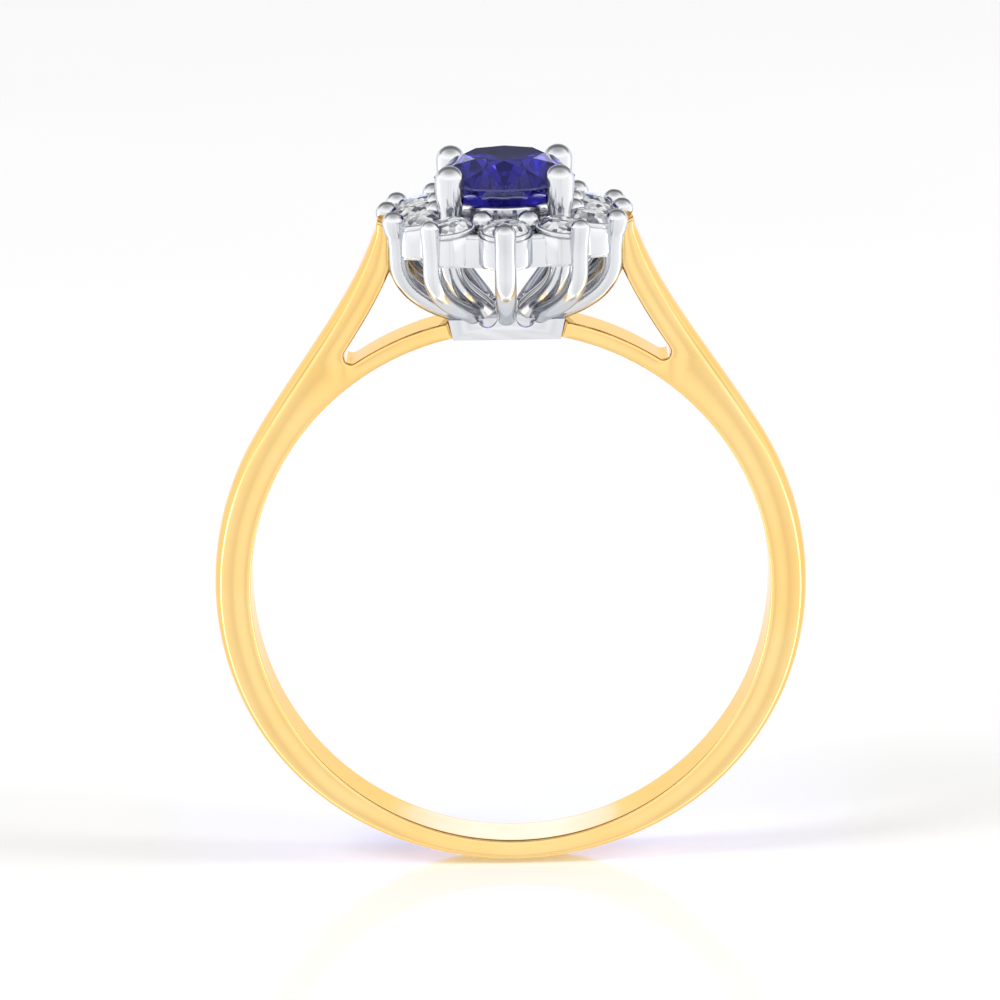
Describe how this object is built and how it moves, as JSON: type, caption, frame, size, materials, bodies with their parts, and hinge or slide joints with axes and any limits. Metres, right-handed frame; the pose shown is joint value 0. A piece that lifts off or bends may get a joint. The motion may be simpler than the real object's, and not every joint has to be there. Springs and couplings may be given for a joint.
{
  "type": "engagement ring",
  "caption": "Finger ring with split yellow gold shoulders and a raised white gold head: an oval blue stone in a halo of small round diamonds, each held by its own claw wire.",
  "frame": {"origin": "centre of the finger bore, at the middle of the band's width", "axes": "+Z from the bore's centre towards the head, Y along the finger bore and along the long axis of the oval head, X across the finger"},
  "size_m": [0.0194, 0.011, 0.0235],
  "materials": {
    "yellow_gold": "polished",
    "white_gold": "polished",
    "blue_gem": "faceted and polished",
    "clear_gem": "faceted and polished"
  },
  "bodies": {
    "root": {"shank": "yellow_gold", "head_base": "white_gold", "gallery": "white_gold", "centre_collet": "white_gold", "centre_stone": "blue_gem", "centre_claw_1": "white_gold", "centre_claw_2": "white_gold", "centre_claw_3": "white_gold", "centre_claw_4": "white_gold", "claw_wire_01": "white_gold", "claw_wire_02": "white_gold", "claw_wire_03": "white_gold", "claw_wire_04": "white_gold", "claw_wire_05": "white_gold", "claw_wire_06": "white_gold", "claw_wire_07": "white_gold", "claw_wire_08": "white_gold", "claw_wire_09": "white_gold", "claw_wire_10": "white_gold", "claw_wire_11": "white_gold", "claw_wire_12": "white_gold", "diamond_01": "clear_gem", "diamond_02": "clear_gem", "diamond_03": "clear_gem", "diamond_04": "clear_gem", "diamond_05": "clear_gem", "diamond_06": "clear_gem", "diamond_07": "clear_gem", "diamond_08": "clear_gem", "diamond_09": "clear_gem", "diamond_10": "clear_gem", "diamond_11": "clear_gem", "diamond_12": "clear_gem", "bead_01": "white_gold", "bead_02": "white_gold", "bead_03": "white_gold", "bead_04": "white_gold", "bead_05": "white_gold", "bead_06": "white_gold", "bead_07": "white_gold", "bead_08": "white_gold"}
  },
  "joints": []
}
